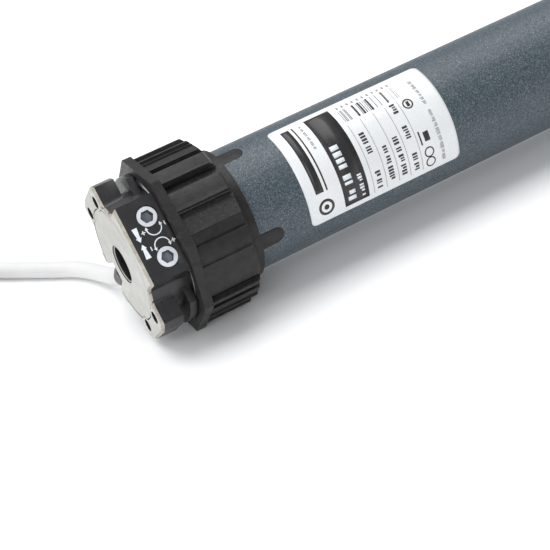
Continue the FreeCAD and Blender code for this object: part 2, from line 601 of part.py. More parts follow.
# ---------------------------------------------------------------- brake
def make_brake():
    bore = "shaft_radius + shaft_gap"
    room = "spring_radius + spring_wire / 2 + 4 * turning_gap"
    sub_part(turned("brake_pot", [
        ("brake_start", bore), ("brake_start", "insert_radius"), ("brake_end", "insert_radius"),
        ("brake_end", "coil_outer"), ("brake_start + pot_floor", "coil_outer"),
        ("brake_start + pot_floor", "coil_inner"),
        ("brake_end", "coil_inner"), ("brake_end", room), ("brake_start + spring_floor", room),
        ("brake_start + spring_floor", bore)]), "brake_magnet")
    sub_part(ring("brake_coil_turned", "brake_start + pot_floor", "brake_end - disc_inset",
                  "coil_inner + 0.1", "coil_outer - 0.1"), "brake_coil")
    sub_part(ring("brake_plate_turned", "plate_start", "plate_start + brake_plate_thick",
                  bore, "brake_radius"), "brake_plate")
    sub_part(turned("brake_disc_turned", [
        ("disc_start", "shaft_radius"), ("disc_start", "brake_radius - 2 * disc_inset"),
        ("disc_start + brake_disc_thick", "brake_radius - 2 * disc_inset"),
        ("disc_start + brake_disc_thick", "shaft_radius")]), "brake_disc")
    wire = number("spring_wire") / 2
    spring_gap = 0.02
    start = number("brake_start + spring_floor") + wire + spring_gap
    reach = number("plate_start") - start - wire - spring_gap
    helix = Part.makeHelix(reach / number("spring_turns"), reach, number("spring_radius"))
    section = Part.Wire(Part.makeCircle(wire, Vector(number("spring_radius"), 0, 0), Vector(0, 1, 0)))
    spring = doc.addObject("Part::Feature", "brake_spring_helix")
    spring.Shape = Part.Wire(helix.Edges).makePipeShell([section], True, True)
    spring.Placement = Placement(Vector(start, 0, 0), Rotation(Vector(0, 1, 0), 90))
    sub_part(spring, "brake_spring")


# ---------------------------------------------------------------- gearbox
PLANET_PLACE = "(sun_teeth + planet_teeth) * gear_module / 2"
STAGE_WIDTHS = ("planet_width", "planet_width", "last_planet_width")


def stage_start(stage):
    """Where a stage's planets begin."""
    start = "gearbox_start + gearbox_wall + stage_gap"
    for width in STAGE_WIDTHS[:stage]:
        start += f" + {width} + 2 * stage_gap + carrier_thick"
    return start


def make_gearbox():
    play = number("tooth_play")
    sub_part(ring("gearbox_plate_turned", "gearbox_start", "gearbox_start + gearbox_wall",
                  "shaft_radius + shaft_gap", "insert_radius"), "gearbox_input_plate")
    annulus = rod("annulus_blank", "gearbox_start + gearbox_wall", "tube_end - cap_spigot", "insert_radius")
    sub_part(less("annulus_piece", annulus, [
        toothed("annulus_teeth_hole", "annulus_teeth", "gearbox_start + gearbox_wall - 1",
                "tube_end - cap_spigot + 1", play, inward=True)]), "ring_gear")

    sun_end = f"{stage_start(0)} + planet_width"
    shaft = joined("shaft_piece", [
        rod("shaft_bar", "shield_start - shaft_stub",
            f"{stage_start(0)} - 0.5", "shaft_radius"),
        toothed("shaft_sun", "sun_teeth", f"{stage_start(0)} - 0.5", sun_end, play)])
    sub_part(shaft, "motor_shaft")

    for stage, width in enumerate(STAGE_WIDTHS):
        start = stage_start(stage)
        for index, y, z, angle in around(3, PLANET_PLACE):
            name = f"stage_{stage + 1}_planet_{index + 1}"
            middle = (number(y), number(z))
            gear = toothed(name + "_teeth", "planet_teeth", start, f"{start} + {width}", play,
                           middle=middle, turn=math.radians(angle))
            bore = rod(name + "_bore", f"{start} - 1", f"{start} + {width} + 1",
                       "planet_pin + running_gap", y, z)
            sub_part(less(name + "_piece", gear, [bore]), name)
        plate = f"{start} + {width} + stage_gap"
        pieces = [rod(f"carrier_disc_{stage}", plate, f"{plate} + carrier_thick", "carrier_radius")]
        pieces += [rod(f"carrier_pin_{stage}_{i}", start, f"{plate} + 1", "planet_pin", y, z)
                   for i, y, z, _ in around(3, PLANET_PLACE)]
        if stage < 2:
            pieces.append(toothed(f"carrier_sun_{stage}", "sun_teeth", f"{plate} + carrier_thick",
                                  f"{stage_start(stage + 1)} + {STAGE_WIDTHS[stage + 1]}", play))
        sub_part(joined(f"carrier_piece_{stage}", pieces), f"planet_carrier_{stage + 1}")


# ---------------------------------------------------------------- driven end


def make_driven_end():
    spigot = "tube_end - cap_spigot"
    cap = turned("end_cap_turned", [
        (spigot, "output_radius + bush_wall"), (spigot, "spigot_radius"), ("tube_end", "spigot_radius"),
        ("tube_end", "tube_radius"), ("cap_end - 1", "tube_radius"), ("cap_end", "tube_radius - 1"),
        ("cap_end", "output_radius + bush_wall")])
    pilots = cap_screw_rods("end_cap_pilot", "tube_radius - cap_screw_length", "tube_radius + 1",
                            "cap_screw_radius")
    sub_part(less("end_cap_piece", cap, pilots), "gearbox_end_cap")
    screws = shared(
        "cap_screws_flush",
        joined("cap_screw_set", cap_screw_rods("cap_screw", "tube_radius - cap_screw_length",
                                               "tube_radius + 1", "cap_screw_radius")),
        rod("cap_screw_skin", "tube_end - cap_spigot", "tube_end", "tube_radius + 0.6"))
    sub_part(screws, "end_cap_screws")
    sub_part(ring("bush_turned", spigot, "cap_end + 0.5", "output_radius + running_gap",
                  "output_radius + bush_wall"), "output_bush")

    shaft_start = f"{stage_start(2)} + last_planet_width + stage_gap + carrier_thick"
    sub_part(turned("output_shaft_turned", [
        (shaft_start, "0"), (shaft_start, "output_radius"), ("wheel_end", "output_radius"),
        ("wheel_end", "clip_groove"), ("wheel_end + clip_thick + 2 * turning_gap", "clip_groove"),
        ("wheel_end + clip_thick + 2 * turning_gap", "output_radius"),
        ("wheel_end + shaft_tail - 1", "output_radius"),
        ("wheel_end + shaft_tail", "output_radius - 1"), ("wheel_end + shaft_tail", "0")]),
        "output_shaft")
    rim = less("wheel_rim", octagon("wheel_prism", "wheel_start", "wheel_end"),
               [rod("wheel_room", "wheel_start - 1", "wheel_end + 1",
                    "wheel_inner")])
    middle = "wheel_start + wheel_length / 2"
    pieces = [rim, rod("wheel_hub", "wheel_start", "wheel_end", "wheel_hub"),
              rod("wheel_web", f"{middle} - wheel_web / 2", f"{middle} + wheel_web / 2",
                  "wheel_inner + 0.2")]
    pieces += [rolled(f"wheel_spoke_roll_{k}", [block(
        f"wheel_spoke_{k}", ("wheel_start + 1", "wheel_end - 1"), ("-spoke_half", "spoke_half"),
        ("wheel_hub - 1", "wheel_inner + 0.2"))], 22.5 + 45 * k) for k in range(8)]
    sub_part(less("wheel_piece", joined("wheel_solid", pieces), [
        rod("wheel_bore", "wheel_start - 1", "wheel_end + 1", "output_radius")]), "drive_wheel")
    clip = ring("clip_ring", "wheel_end + turning_gap", "wheel_end + turning_gap + clip_thick", "clip_groove",
                "clip_radius")
    sub_part(less("clip_piece", clip, [block(
        "clip_gap", ("wheel_end", "wheel_end + 2 * clip_thick"), ("-clip_mouth", "clip_mouth"),
        ("0", "clip_radius + 1"))]),
        "retaining_clip")


# ---------------------------------------------------------------- supply cable
TAIL_ANGLE = 140
TAIL_RUNS = (24, 24)
CORE_FANS = {1: 4.4, -1: 1.2}


def leave_head(distance):
    """A point on the cable's way out of the head, opposite the adjuster panel."""
    roll = math.radians(number("head_roll"))
    return Vector(number("cable_place"), distance * math.sin(roll), -distance * math.cos(roll))


def cable_route():
    """Corner points of the cable from the gland to the coil, on the floor after the first run."""
    floor = -number("octagon_flats") / 2 + number("cable_radius")
    start = leave_head(number("gland_mouth"))
    landing = leave_head(-floor / math.cos(math.radians(number("head_roll"))))
    return [start, landing] + [Vector(x, y, floor) for x, y in
                               ((0.5, 54), (-8.5, 64), (-27, 85), (-39, 101), (-53.4, 115))]


def swept(name, points):
    """A round cable along straight runs joined by tangent arcs, and its length and radii."""
    edges, radii, here = [], [], points[0]
    for before, corner, after in zip(points, points[1:], points[2:]):
        back, ahead = (before - corner), (after - corner)
        turn = math.pi - back.getAngle(ahead)
        reach = 0.45 * min(back.Length, ahead.Length)
        radius = reach / math.tan(turn / 2)
        first = corner + back.normalize() * reach
        last = corner + ahead.normalize() * reach
        inward = (back + ahead).normalize()
        middle = corner + inward * (radius / math.cos(turn / 2) - radius)
        edges += [Part.LineSegment(here, first).toShape(), Part.Arc(first, middle, last).toShape()]
        radii.append(round(radius, 1))
        here = last
    edges.append(Part.LineSegment(here, points[-1]).toShape())
    path = Part.Wire(edges)
    way = (points[1] - points[0]).normalize()
    section = Part.Wire(Part.makeCircle(number("cable_radius"), points[0], way))
    tube = doc.addObject("Part::Feature", name)
    tube.Shape = path.makePipeShell([section], True, True)
    expected = math.pi * number("cable_radius") ** 2 * path.Length
    print(name, "length", round(path.Length, 1), "radii", radii,
          "volume ratio", round(tube.Shape.Volume / expected, 4))
    return tube


def coil_ring(name, middle):
    floor = -number("octagon_flats") / 2
    thing = doc.addObject("Part::Cylinder", name + "_outer")
    room = doc.addObject("Part::Cylinder", name + "_room")
    for cylinder, sign in ((thing, "+"), (room, "-")):
        bind(cylinder, Radius=f"coil_mean {sign} coil_wide * coil_pitch / 2",
             Height="2 * cable_radius + (coil_high - 1) * coil_pitch")
        cylinder.Placement.Base = Vector(middle.x, middle.y, floor)
    return less(name, thing, [room])


def make_cable():
    floor = -number("octagon_flats") / 2
    gland = joined("gland_solid", [
        post("gland_neck", "cable_place", "0", "-ear_reach", "-notch_apex - insert_gap",
             "notch_inner - insert_gap"),
        post("gland_collar", "cable_place", "0", "-ear_reach - gland_collar", "-notch_apex - 6",
             "gland_root")])
    cone = doc.addObject("Part::Cone", "gland_taper")
    bind(cone, Radius1="cable_radius + gland_lip", Radius2="gland_root",
         Height="gland_mouth - ear_reach - gland_collar",
         Placement__Base__x="cable_place", Placement__Base__z="-gland_mouth")
    sub_part(roll_to_head(joined("gland_piece", [gland, cone])), "cable_gland")

    route = cable_route()
    way = (route[-1] - route[-2]).normalize()
    outer_turn = number("coil_mean + (coil_wide - 1) * coil_pitch / 2")
    middle = route[-1] + Vector(-way.y, way.x, 0) * outer_turn
    coil = sub_part(coil_ring("coil_piece", middle), "cable_coil")
    sub_part(less("cable_run_cut", swept("cable_run_tube", route), [coil]), "cable_run")

    leave = math.radians(TAIL_ANGLE)
    start = middle + Vector(math.cos(leave), math.sin(leave), 0) * outer_turn
    start.z = route[-1].z + number("(coil_high - 1) * coil_pitch")
    tail_way = Vector(-math.sin(leave), math.cos(leave), 0)
    bend = start + tail_way * TAIL_RUNS[0]
    bend.z = (start.z + route[-1].z) / 2
    end = start + tail_way * sum(TAIL_RUNS) + Vector(-tail_way.y, tail_way.x, 0) * 2
    end.z = route[-1].z
    sub_part(less("cable_tail_cut", swept("cable_tail_tube", [start, bend, end]), [coil]), "cable_tail")
    along = (end - bend).normalize()
    across = Vector(-along.y, along.x, 0)
    sheath = sub_parts[-1]
    overlap = 2
    for name, side, level in (("core_brown", -1, 1), ("core_blue", 1, 1),
                              ("core_black", -1, -1), ("core_earth", 1, -1)):
        first = end + across * side * number("core_place") + Vector(0, 0, level * number("core_lift"))
        fan = CORE_FANS[level] * number("core_place")
        last = end + along * number("core_length") + across * side * fan
        last.z = floor + number("core_radius")
        way = (last - first).normalize()
        core = doc.addObject("Part::Cylinder", name + "_wire")
        bind(core, Radius="core_radius")
        core.Height = (last - first).Length + overlap
        core.Placement = Placement(first - way * overlap, Rotation(Vector(0, 0, 1), way))
        sub_part(less(name + "_bare", core, [sheath]), name)


make_head_body()
make_cover_plate()
make_adjusters()
make_sleeve()
make_slide_ring()
make_crown()
make_limit_unit()
make_tube()
make_electrical_parts()
make_motor()
make_brake()
make_gearbox()
make_driven_end()
make_cable()
doc.recompute()

for thing in doc.Objects:
    if "Invalid" in thing.State or "Error" in thing.State:
        raise SystemExit(f"{thing.Label} did not compute: {thing.State}")
for thing in sub_parts:
    if thing.Shape.isNull() or not thing.Shape.isValid() or not thing.Shape.Solids:
        raise SystemExit(f"{thing.Label} has no valid solid")

os.makedirs("parts", exist_ok=True)
for thing in sub_parts:
    thing.Shape.exportStep(f"parts/{thing.Label}.step")
print(len(sub_parts), "sub-parts written")
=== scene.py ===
"""Looks of the tubular roller shutter motor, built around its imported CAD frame, in metres.

The motor axis is X, the head's outer face is at x = 0 and the floor is under the octagon's flat.
"""
import json
import math
import random

import bmesh
import bpy
from mathutils import Matrix, Vector

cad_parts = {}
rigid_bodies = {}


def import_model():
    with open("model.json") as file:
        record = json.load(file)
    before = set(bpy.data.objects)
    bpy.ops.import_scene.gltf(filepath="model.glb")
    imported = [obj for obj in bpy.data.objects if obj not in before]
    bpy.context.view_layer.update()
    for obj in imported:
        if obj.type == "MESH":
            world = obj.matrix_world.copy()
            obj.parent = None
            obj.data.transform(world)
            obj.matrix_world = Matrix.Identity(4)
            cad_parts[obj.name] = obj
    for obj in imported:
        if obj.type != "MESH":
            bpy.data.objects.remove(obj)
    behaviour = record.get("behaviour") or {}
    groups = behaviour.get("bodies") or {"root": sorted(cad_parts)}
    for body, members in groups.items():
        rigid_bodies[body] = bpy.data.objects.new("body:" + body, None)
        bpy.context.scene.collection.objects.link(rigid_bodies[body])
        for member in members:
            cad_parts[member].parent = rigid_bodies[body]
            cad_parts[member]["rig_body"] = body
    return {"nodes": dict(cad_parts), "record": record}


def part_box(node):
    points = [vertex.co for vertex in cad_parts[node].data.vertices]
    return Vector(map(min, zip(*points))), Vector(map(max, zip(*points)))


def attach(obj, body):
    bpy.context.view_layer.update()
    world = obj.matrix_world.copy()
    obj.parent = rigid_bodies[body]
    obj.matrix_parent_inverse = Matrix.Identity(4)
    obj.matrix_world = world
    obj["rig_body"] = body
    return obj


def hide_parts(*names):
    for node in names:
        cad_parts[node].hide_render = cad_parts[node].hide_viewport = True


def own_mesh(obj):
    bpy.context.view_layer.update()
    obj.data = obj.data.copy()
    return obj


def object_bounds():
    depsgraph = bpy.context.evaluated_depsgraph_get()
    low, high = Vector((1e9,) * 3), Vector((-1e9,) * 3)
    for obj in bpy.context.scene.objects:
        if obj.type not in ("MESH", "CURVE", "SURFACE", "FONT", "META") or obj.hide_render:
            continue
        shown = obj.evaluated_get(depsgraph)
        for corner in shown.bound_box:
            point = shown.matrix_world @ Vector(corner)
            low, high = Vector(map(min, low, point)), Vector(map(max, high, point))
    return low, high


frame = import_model()
CAD_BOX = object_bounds()
NODES = frame["nodes"]
MM = 0.001
FLOOR = CAD_BOX[0][2]


# ---------------------------------------------------------------- camera
CAMERA_PLACE = (-0.107406, -0.437734, 0.247658)
CAMERA_AIM = (0.29487, 0.80583, -0.51351)
CAMERA_ROLL = math.radians(-15.6)
CAMERA_LENS = 97.7


def make_camera():
    camera = bpy.data.objects.new("camera", bpy.data.cameras.new("camera"))
    camera.data.lens = CAMERA_LENS
    camera.data.sensor_width = 36
    camera.data.clip_start = 0.01
    aim = Vector(CAMERA_AIM).to_track_quat("-Z", "Y").to_matrix()
    camera.matrix_world = Matrix.Translation(CAMERA_PLACE) @ (
        aim @ Matrix.Rotation(CAMERA_ROLL, 3, "Z")).to_4x4()
    bpy.context.scene.collection.objects.link(camera)
    bpy.context.scene.camera = camera


make_camera()


# ---------------------------------------------------------------- materials
# nearly all values of a noise texture lie in this range
NOISE_RANGE = (0.3, 0.7)


class Finish:
    """A procedural material; values that are the same all over are set on the shader's own sockets."""

    def __init__(self, name, **settings):
        self.material = bpy.data.materials.new(name)
        self.material.use_nodes = True
        self.nodes = self.material.node_tree.nodes
        self.links = self.material.node_tree.links
        self.shader = self.nodes["Principled BSDF"]
        for key, value in settings.items():
            self.shader.inputs[key.replace("_", " ")].default_value = value
        self.place = self.nodes.new("ShaderNodeTexCoord").outputs["Object"]
        self.bumped = None

    def stretched(self, scale):
        """Object coordinates, scaled differently along each axis."""
        mapping = self.nodes.new("ShaderNodeMapping")
        mapping.inputs["Scale"].default_value = scale
        self.links.new(self.place, mapping.inputs["Vector"])
        return mapping.outputs["Vector"]

    def noise(self, size, detail=3, roughness=0.55, place=None):
        """Noise whose grains are about that many millimetres across."""
        texture = self.nodes.new("ShaderNodeTexNoise")
        texture.inputs["Scale"].default_value = 1 / (size * MM)
        texture.inputs["Detail"].default_value = detail
        texture.inputs["Roughness"].default_value = roughness
        self.links.new(place or self.place, texture.inputs["Vector"])
        return texture.outputs["Fac"]

    def ramp(self, source, stops):
        """A colour ramp; each stop is (position, linear colour)."""
        ramp = self.nodes.new("ShaderNodeValToRGB")
        elements = ramp.color_ramp.elements
        while len(elements) < len(stops):
            elements.new(0.5)
        for element, (position, colour) in zip(elements, stops):
            element.position = position
            element.color = (*colour, 1)
        self.links.new(source, ramp.inputs["Fac"])
        return ramp.outputs["Color"]

    def spread(self, source, low, high):
        """Maps the range of a noise's values to another range."""
        spread = self.nodes.new("ShaderNodeMapRange")
        spread.inputs["From Min"].default_value = NOISE_RANGE[0]
        spread.inputs["From Max"].default_value = NOISE_RANGE[1]
        spread.inputs["To Min"].default_value = low
        spread.inputs["To Max"].default_value = high
        self.links.new(source, spread.inputs["Value"])
        return spread.outputs["Result"]

    def drive(self, socket, source):
        """Links a node's output to one of the shader's sockets."""
        self.links.new(source, self.shader.inputs[socket])

    def mottle(self, source, dark, light):
        """Colours the surface between two tones by a noise."""
        self.drive("Base Color", self.ramp(source, list(zip(NOISE_RANGE, (dark, light)))))

    def bump(self, source, height):
        """Adds relief of that many millimetres over the bumps added before it."""
        bump = self.nodes.new("ShaderNodeBump")
        bump.inputs["Distance"].default_value = height * MM
        self.links.new(source, bump.inputs["Height"])
        if self.bumped:
            self.links.new(self.bumped, bump.inputs["Normal"])
        self.bumped = bump.outputs["Normal"]
        self.links.new(self.bumped, self.shader.inputs["Normal"])


def moulded(name, dark, light, grain=0.35, relief=0.02, rough=(0.4, 0.55), cloud=9.0, **settings):
    """Moulded plastic: a cloudy colour, a fine spark-eroded grain and uneven gloss."""
    finish = Finish(name, **settings)
    finish.mottle(finish.noise(cloud, 4), dark, light)
    finish.drive("Roughness", finish.spread(finish.noise(grain * 3, 3), *rough))
    finish.bump(finish.noise(grain, 2), relief)
    return finish.material


def powder_coat():
    """Fine-texture grey-blue powder coat with pale metallic flecks."""
    finish = Finish("powder_coat", Metallic=0.0, IOR=1.5)
    base = finish.ramp(finish.noise(0.7, 5, 0.7), [
        (0.34, (0.019, 0.029, 0.038)), (0.5, (0.041, 0.059, 0.072)), (0.66, (0.082, 0.107, 0.124))])
    flecks = finish.nodes.new("ShaderNodeTexVoronoi")
    flecks.inputs["Scale"].default_value = 1 / (0.5 * MM)
    finish.links.new(finish.place, flecks.inputs["Vector"])
    bright = finish.ramp(flecks.outputs["Distance"], [(0.12, (1, 1, 1)), (0.26, (0, 0, 0))])
    chosen = finish.nodes.new("ShaderNodeMix")
    chosen.data_type = "RGBA"
    chosen.inputs["B"].default_value = (0.30, 0.35, 0.38, 1)
    finish.links.new(bright, chosen.inputs["Factor"])
    finish.links.new(base, chosen.inputs["A"])
    finish.drive("Base Color", chosen.outputs["Result"])
    finish.drive("Roughness", finish.spread(finish.noise(1.5, 3), 0.36, 0.5))
    finish.bump(finish.noise(0.5, 3), 0.07)
    finish.bump(finish.noise(1.6, 2), 0.05)
    return finish.material


def grained_black():
    """Spark-eroded recesses of the crown: coarse dull grain with pale glass-fibre flecks."""
    finish = Finish("grained_black")
    grain = finish.noise(0.55, 4, 0.7)
    finish.drive("Base Color", finish.ramp(grain, [
        (0.42, (0.008, 0.0078, 0.008)), (0.58, (0.024, 0.022, 0.021)), (0.72, (0.075, 0.07, 0.066))]))
    finish.drive("Roughness", finish.spread(grain, 0.42, 0.62))
    finish.bump(grain, 0.16)
    return finish.material


def turned_metal(name, dark, light):
    """Metal with fine lathe marks around the motor axis."""
    finish = Finish(name, Metallic=1.0)
    marks = finish.noise(0.25, 3, place=finish.stretched((1, 0.02, 0.02)))
    finish.mottle(finish.noise(6, 4), dark, light)
    finish.drive("Roughness", finish.spread(marks, 0.22, 0.4))
    finish.bump(marks, 0.004)
    return finish.material


def laminated():
    """Stacked sheet steel, with a dark line between packs of sheets about every 3 mm."""
    finish = Finish("lamination_steel", Metallic=1.0)
    packs = finish.nodes.new("ShaderNodeTexWave")
    packs.inputs["Scale"].default_value = 100
    packs.inputs["Distortion"].default_value = 0.4
    finish.links.new(finish.place, packs.inputs["Vector"])
    finish.drive("Base Color", finish.ramp(packs.outputs["Fac"], [
        (0.1, (0.20, 0.20, 0.21)), (0.5, (0.48, 0.48, 0.50))]))
    finish.drive("Roughness", finish.spread(finish.noise(2, 3), 0.35, 0.55))
    finish.bump(packs.outputs["Fac"], 0.05)
    return finish.material


def wound_copper():
    """Enamelled copper turns, seen as fine ridges."""
    finish = Finish("copper_winding", Metallic=0.85)
    turns = finish.noise(0.5, 3, place=finish.stretched((0.1, 1, 1)))
    finish.mottle(turns, (0.26, 0.09, 0.035), (0.62, 0.27, 0.12))
    finish.drive("Roughness", finish.spread(turns, 0.25, 0.45))
    finish.bump(turns, 0.15)
    return finish.material


def circuit_board():
    """Green solder resist over copper tracks."""
    finish = Finish("circuit_board", Coat_Weight=0.3)
    tracks = finish.nodes.new("ShaderNodeTexBrick")
    tracks.inputs["Scale"].default_value = 1 / (8 * MM)
    tracks.inputs["Mortar Size"].default_value = 0.03
    tracks.inputs["Color1"].default_value = (0.01, 0.12, 0.05, 1)
    tracks.inputs["Color2"].default_value = (0.012, 0.15, 0.06, 1)
    tracks.inputs["Mortar"].default_value = (0.03, 0.25, 0.1, 1)
    turned = finish.nodes.new("ShaderNodeMapping")
    turned.inputs["Rotation"].default_value = (0, math.pi / 2, 0)
    finish.links.new(finish.place, turned.inputs["Vector"])
    finish.links.new(turned.outputs["Vector"], tracks.inputs["Vector"])
    finish.drive("Base Color", tracks.outputs["Color"])
    finish.drive("Roughness", finish.spread(finish.noise(1, 3), 0.3, 0.5))
    finish.bump(tracks.outputs["Fac"], 0.03)
    return finish.material


def cable_sheath():
    """Soft white PVC with a faint mottle and uneven gloss."""
    finish = Finish("white_sheath", IOR=1.5, Subsurface_Weight=0.15, Subsurface_Scale=0.002)
    finish.mottle(finish.noise(14, 4), (0.585, 0.585, 0.58), (0.635, 0.635, 0.63))
    finish.drive("Roughness", finish.spread(finish.noise(3, 3), 0.42, 0.56))
    finish.bump(finish.noise(1.2, 2), 0.03)
    return finish.material


FINISHES = {
    "black_plastic": moulded("black_plastic", (0.010, 0.0095, 0.0095), (0.021, 0.019, 0.0185),
                             grain=0.6, relief=0.09, rough=(0.32, 0.52), cloud=3.0,
                             Specular_IOR_Level=0.28),
    "grained_black": grained_black(),
    "smooth_black": moulded("smooth_black", (0.012, 0.012, 0.013), (0.021, 0.020, 0.021),
                            grain=0.35, relief=0.02, rough=(0.26, 0.38), cloud=4.0),
    "grey_plastic": moulded("grey_plastic", (0.37, 0.362, 0.335), (0.46, 0.452, 0.425),
                            grain=0.4, relief=0.02, rough=(0.4, 0.55), cloud=5.0),
    "chamfer_grey": moulded("chamfer_grey", (0.24, 0.218, 0.18), (0.40, 0.372, 0.322), grain=0.3,
                            relief=0.02, rough=(0.42, 0.55), cloud=2.0),
    "white_plastic": moulded("white_plastic", (0.56, 0.585, 0.62), (0.66, 0.685, 0.72),
                             grain=0.5, relief=0.008, rough=(0.28, 0.4)),
    # painted shade inside the adjusters' white hexagon sockets: darkest on the walls, lighter on the
    # floor
    "socket_wall_painted_shade": moulded("socket_wall_painted_shade", (0.055, 0.055, 0.06), (0.10, 0.10, 0.112),
                           grain=0.4, relief=0.01, rough=(0.35, 0.5), cloud=1.5),
    "socket_floor_painted_shade": moulded("socket_floor_painted_shade", (0.25, 0.285, 0.34), (0.36, 0.40, 0.46),
                            grain=0.4, relief=0.01, rough=(0.35, 0.5), cloud=1.5),
    "natural_plastic": moulded("natural_plastic", (0.62, 0.60, 0.53), (0.72, 0.70, 0.64),
                               relief=0.008, rough=(0.35, 0.5)),
    "capacitor_case": moulded("capacitor_case", (0.60, 0.61, 0.62), (0.68, 0.69, 0.70),
                              relief=0.006, rough=(0.3, 0.4)),
    "powder_coat": powder_coat(),
    "circuit_board": circuit_board(),
    "lamination_steel": laminated(),
    "copper_winding": wound_copper(),
    "die_cast": moulded("die_cast", (0.42, 0.43, 0.44), (0.55, 0.56, 0.57), grain=0.6, relief=0.03,
                        rough=(0.4, 0.6), Metallic=0.9),
    "bearing_steel": turned_metal("bearing_steel", (0.50, 0.51, 0.53), (0.66, 0.67, 0.69)),
    "friction_lining": moulded("friction_lining", (0.05, 0.042, 0.035), (0.13, 0.11, 0.09),
                               grain=0.6, relief=0.08, rough=(0.75, 0.95), cloud=1.2),
    "sintered_steel": moulded("sintered_steel", (0.30, 0.30, 0.31), (0.42, 0.42, 0.43), grain=0.25,
                              relief=0.02, rough=(0.4, 0.6), cloud=1.0, Metallic=0.95),
    "bronze": turned_metal("bronze", (0.44, 0.25, 0.09), (0.60, 0.38, 0.16)),
    "white_sheath": cable_sheath(),
    "core_brown": moulded("core_brown", (0.10, 0.035, 0.012), (0.15, 0.055, 0.02), relief=0.006),
    "core_blue": moulded("core_blue", (0.01, 0.07, 0.32), (0.02, 0.11, 0.42), relief=0.006),
    "core_black": moulded("core_black", (0.012, 0.012, 0.013), (0.022, 0.022, 0.023), relief=0.006),
    "core_earth": moulded("core_earth", (0.05, 0.28, 0.03), (0.10, 0.38, 0.05), relief=0.006),
    "label_foil": moulded("label_foil", (0.66, 0.67, 0.68), (0.74, 0.75, 0.76), grain=0.2,
                          relief=0.004, rough=(0.24, 0.34), cloud=25.0, Coat_Weight=0.35),
    "label_ink": moulded("label_ink", (0.010, 0.009, 0.010), (0.018, 0.016, 0.017), grain=0.15,
                         relief=0.003, rough=(0.25, 0.36), cloud=3.0),
    "label_grey_ink": moulded("label_grey_ink", (0.24, 0.25, 0.26), (0.30, 0.31, 0.32), grain=0.15,
                              relief=0.003, rough=(0.3, 0.4), cloud=3.0),
    "white_ink": moulded("white_ink", (0.64, 0.68, 0.72), (0.76, 0.80, 0.83), grain=0.25,
                         relief=0.006, rough=(0.4, 0.5), cloud=2.0),
    "bare_copper": turned_metal("bare_copper", (0.60, 0.26, 0.12), (0.80, 0.42, 0.24)),
}


def slot_of(node):
    """The material slot that the record gives a CAD node."""
    return next(part["material_slot"] for part in frame["record"]["subparts"] if part["node"] == node)


def finish_cad_nodes():
    for name, node in NODES.items():
        node.data.materials.clear()
        node.data.materials.append(FINISHES[slot_of(name)])


finish_cad_nodes()


# ---------------------------------------------------------------- helpers
def placed(name, mesh, body, slot, *finishes):
    """A new piece that rides on a body, with its finishes; the slot serves as the finish when none is
    given.
    """
    piece = bpy.data.objects.new(name, mesh)
    bpy.context.scene.collection.objects.link(piece)
    for finish in finishes or (slot,):
        mesh.materials.append(FINISHES[finish])
    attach(piece, body)
    return piece


def mesh_of(name, builder):
    mesh = bpy.data.meshes.new(name)
    builder.to_mesh(mesh)
    builder.free()
    return mesh


def smooth_by_angle(mesh, degrees):
    """Smooth shading with creases where faces meet at more than the angle."""
    for polygon in mesh.polygons:
        polygon.use_smooth = True
    mesh.set_sharp_from_angle(angle=math.radians(degrees))


# ---------------------------------------------------------------- cable
CABLE_RADIUS = 3.25 * MM
EXIT = Vector((5.2, 23.88, -18.16)) * MM
RUN_HEIGHT = FLOOR + CABLE_RADIUS
ROUTE = [EXIT, Vector((5.2, 36.5, -24.6)) * MM] + [
    Vector((x * MM, y * MM, RUN_HEIGHT))
    for x, y in ((-0.5, 57), (-10.5, 67), (-28, 86.5), (-39, 101), (-53.4, 115))]
COIL_PITCH = 6.6 * MM
COIL_MEAN = 35.75 * MM
COIL_WIDE = 4
LAST_LANE = 2 * COIL_WIDE - 1
# the share of a turn in which the cable moves over to the next lane
LANE_SHIFT = 0.25
STEPS_PER_TURN = 16
TAIL_ANGLE = math.radians(140)
TAIL_RUN = 24 * MM
TAIL_DRIFT = 2 * MM


def coil_points():
    """The coil's turns, from the outside in on the floor and then from the inside out on top.

    They begin at the second step, because the first lies close to the route's last point.
    """
    way = (ROUTE[-1] - ROUTE[-2]).normalized()
    outer = COIL_MEAN + (COIL_WIDE - 1) * COIL_PITCH / 2
    centre = ROUTE[-1] + Vector((-way.y, way.x, 0)) * outer
    entry = math.atan2(*(ROUTE[-1] - centre).yx)
    sweep = TAIL_ANGLE - entry
    sweep += math.tau * (LAST_LANE + (sweep < 0))
    steps = round(sweep / math.tau * STEPS_PER_TURN)
    points = []
    for step in range(2, steps + 1):
        turn = step / steps * sweep / math.tau
        lane, part = divmod(turn, 1)
        lane += max(0.0, (part - 1 + LANE_SHIFT) / LANE_SHIFT)
        lane = min(lane, LAST_LANE)
        inward = min(lane, LAST_LANE - lane, COIL_WIDE - 1)
        level = min(max(lane - (COIL_WIDE - 1), 0), 1)
        angle = entry + turn * math.tau
        radius = outer - inward * COIL_PITCH
        point = centre + Vector((math.cos(angle) * radius, math.sin(angle) * radius, 0))
        point.z = RUN_HEIGHT + level * COIL_PITCH
        points.append(point)
    return points


def nurbs_tube(name, points, radius):
    """A round tube along one open NURBS spline."""
    curve = bpy.data.curves.new(name, "CURVE")
    curve.dimensions = "3D"
    spline = curve.splines.new("NURBS")
    spline.points.add(len(points) - 1)
    for place, point in zip(spline.points, points):
        place.co = (*point, 1)
    spline.order_u = 3
    spline.use_endpoint_u = True
    curve.resolution_u = 8
    curve.bevel_depth = radius
    curve.bevel_resolution = 8
    curve.use_fill_caps = True
    return curve


